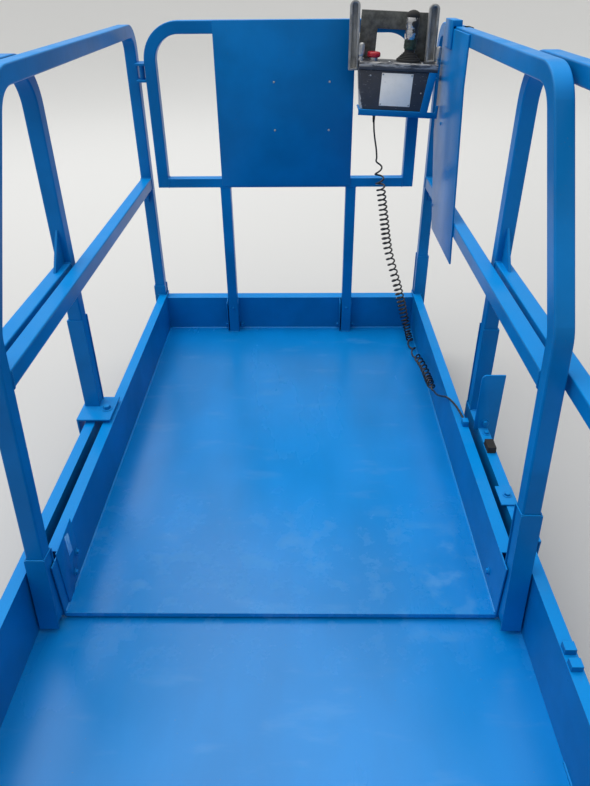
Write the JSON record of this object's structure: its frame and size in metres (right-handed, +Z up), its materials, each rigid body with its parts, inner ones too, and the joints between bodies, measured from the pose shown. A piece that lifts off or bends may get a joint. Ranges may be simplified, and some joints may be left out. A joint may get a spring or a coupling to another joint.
{
  "type": "scissor lift work platform",
  "caption": "Steel work platform of a scissor lift: deck with toe-boards and guardrails, a roll-out deck with a folding front guard and control box, and an entry gate.",
  "frame": {"origin": "middle of the platform's footprint at the underside of the scissor tracks, with the roll-out deck out", "axes": "+Y towards the roll-out deck's front, +X to the right, +Z up"},
  "size_m": [1.19, 3.074, 1.3],
  "materials": {
    "blue_paint": "gloss paint, brushed on in places",
    "deck_paint": "gloss floor paint",
    "box_paint": "satin, worn at the edges",
    "worn_steel": "worn grey paint",
    "black_rubber": "matt",
    "cord_black": "satin",
    "red_plastic": "gloss",
    "bare_steel": "zinc plated",
    "wear_pad": "matt"
  },
  "bodies": {
    "platform": {"main_deck": "deck_paint", "main_toe_left": "blue_paint", "main_toe_right": "blue_paint", "cross_members": "blue_paint", "deck_headers": "blue_paint", "scissor_track_left": "blue_paint", "scissor_track_right": "blue_paint", "pivot_boss_left": "blue_paint", "pivot_boss_right": "blue_paint", "main_rail_left": "blue_paint", "main_rail_right": "blue_paint", "main_sockets_left": "blue_paint", "main_sockets_right": "blue_paint", "keeper_left": "blue_paint", "upright_plate": "blue_paint", "rubber_stop": "black_rubber", "bridge_plate": "blue_paint", "rail_stops": "blue_paint", "side_clip": "blue_paint", "main_wear_pads": "wear_pad", "rear_rail_left": "blue_paint", "rear_rail_right": "blue_paint", "gate_stop": "blue_paint", "gate_hinges": "blue_paint"},
    "roll_out_deck": {"ext_deck": "deck_paint", "ext_stiffeners": "blue_paint", "ext_wear_pads": "wear_pad", "ext_toe_left": "blue_paint", "ext_toe_right": "blue_paint", "ext_toe_front": "blue_paint", "ext_rail_left": "blue_paint", "ext_rail_right": "blue_paint", "ext_sockets_left": "blue_paint", "ext_sockets_right": "blue_paint", "front_frame": "blue_paint", "front_legs": "blue_paint", "front_panel": "blue_paint", "rail_clamps": "blue_paint", "gusset_plate": "blue_paint", "control_plate": "blue_paint", "plate_hook": "blue_paint", "rail_buffer": "black_rubber", "box_cradle": "blue_paint", "control_box": "box_paint", "box_lid": "box_paint", "box_guards": "worn_steel", "guard_plate": "worn_steel", "joystick": "black_rubber", "stop_button": "red_plastic", "guard_knobs": "worn_steel", "cord_gland": "cord_black", "cord_clip": "blue_paint", "cord_lead": "cord_black", "cord_curl": "cord_black", "cord_tail": "cord_black"},
    "gate": {"gate_frame": "blue_paint", "gate_kick_plate": "blue_paint", "gate_latch": "bare_steel", "gate_barrels": "blue_paint"}
  },
  "joints": [
    {"name": "deck_slide", "type": "slide", "parent": "platform", "child": "roll_out_deck", "axis": [0, 1, 0], "range_m": [-0.76, 0]},
    {"name": "gate_swing", "type": "hinge", "parent": "platform", "child": "gate", "pos_m": [-0.4045, -1.482, 0.292], "axis": [0, 0, 1], "range_deg": [0, 90], "stiffness_Nm_per_rad": 3, "springref_deg": -17.19}
  ]
}
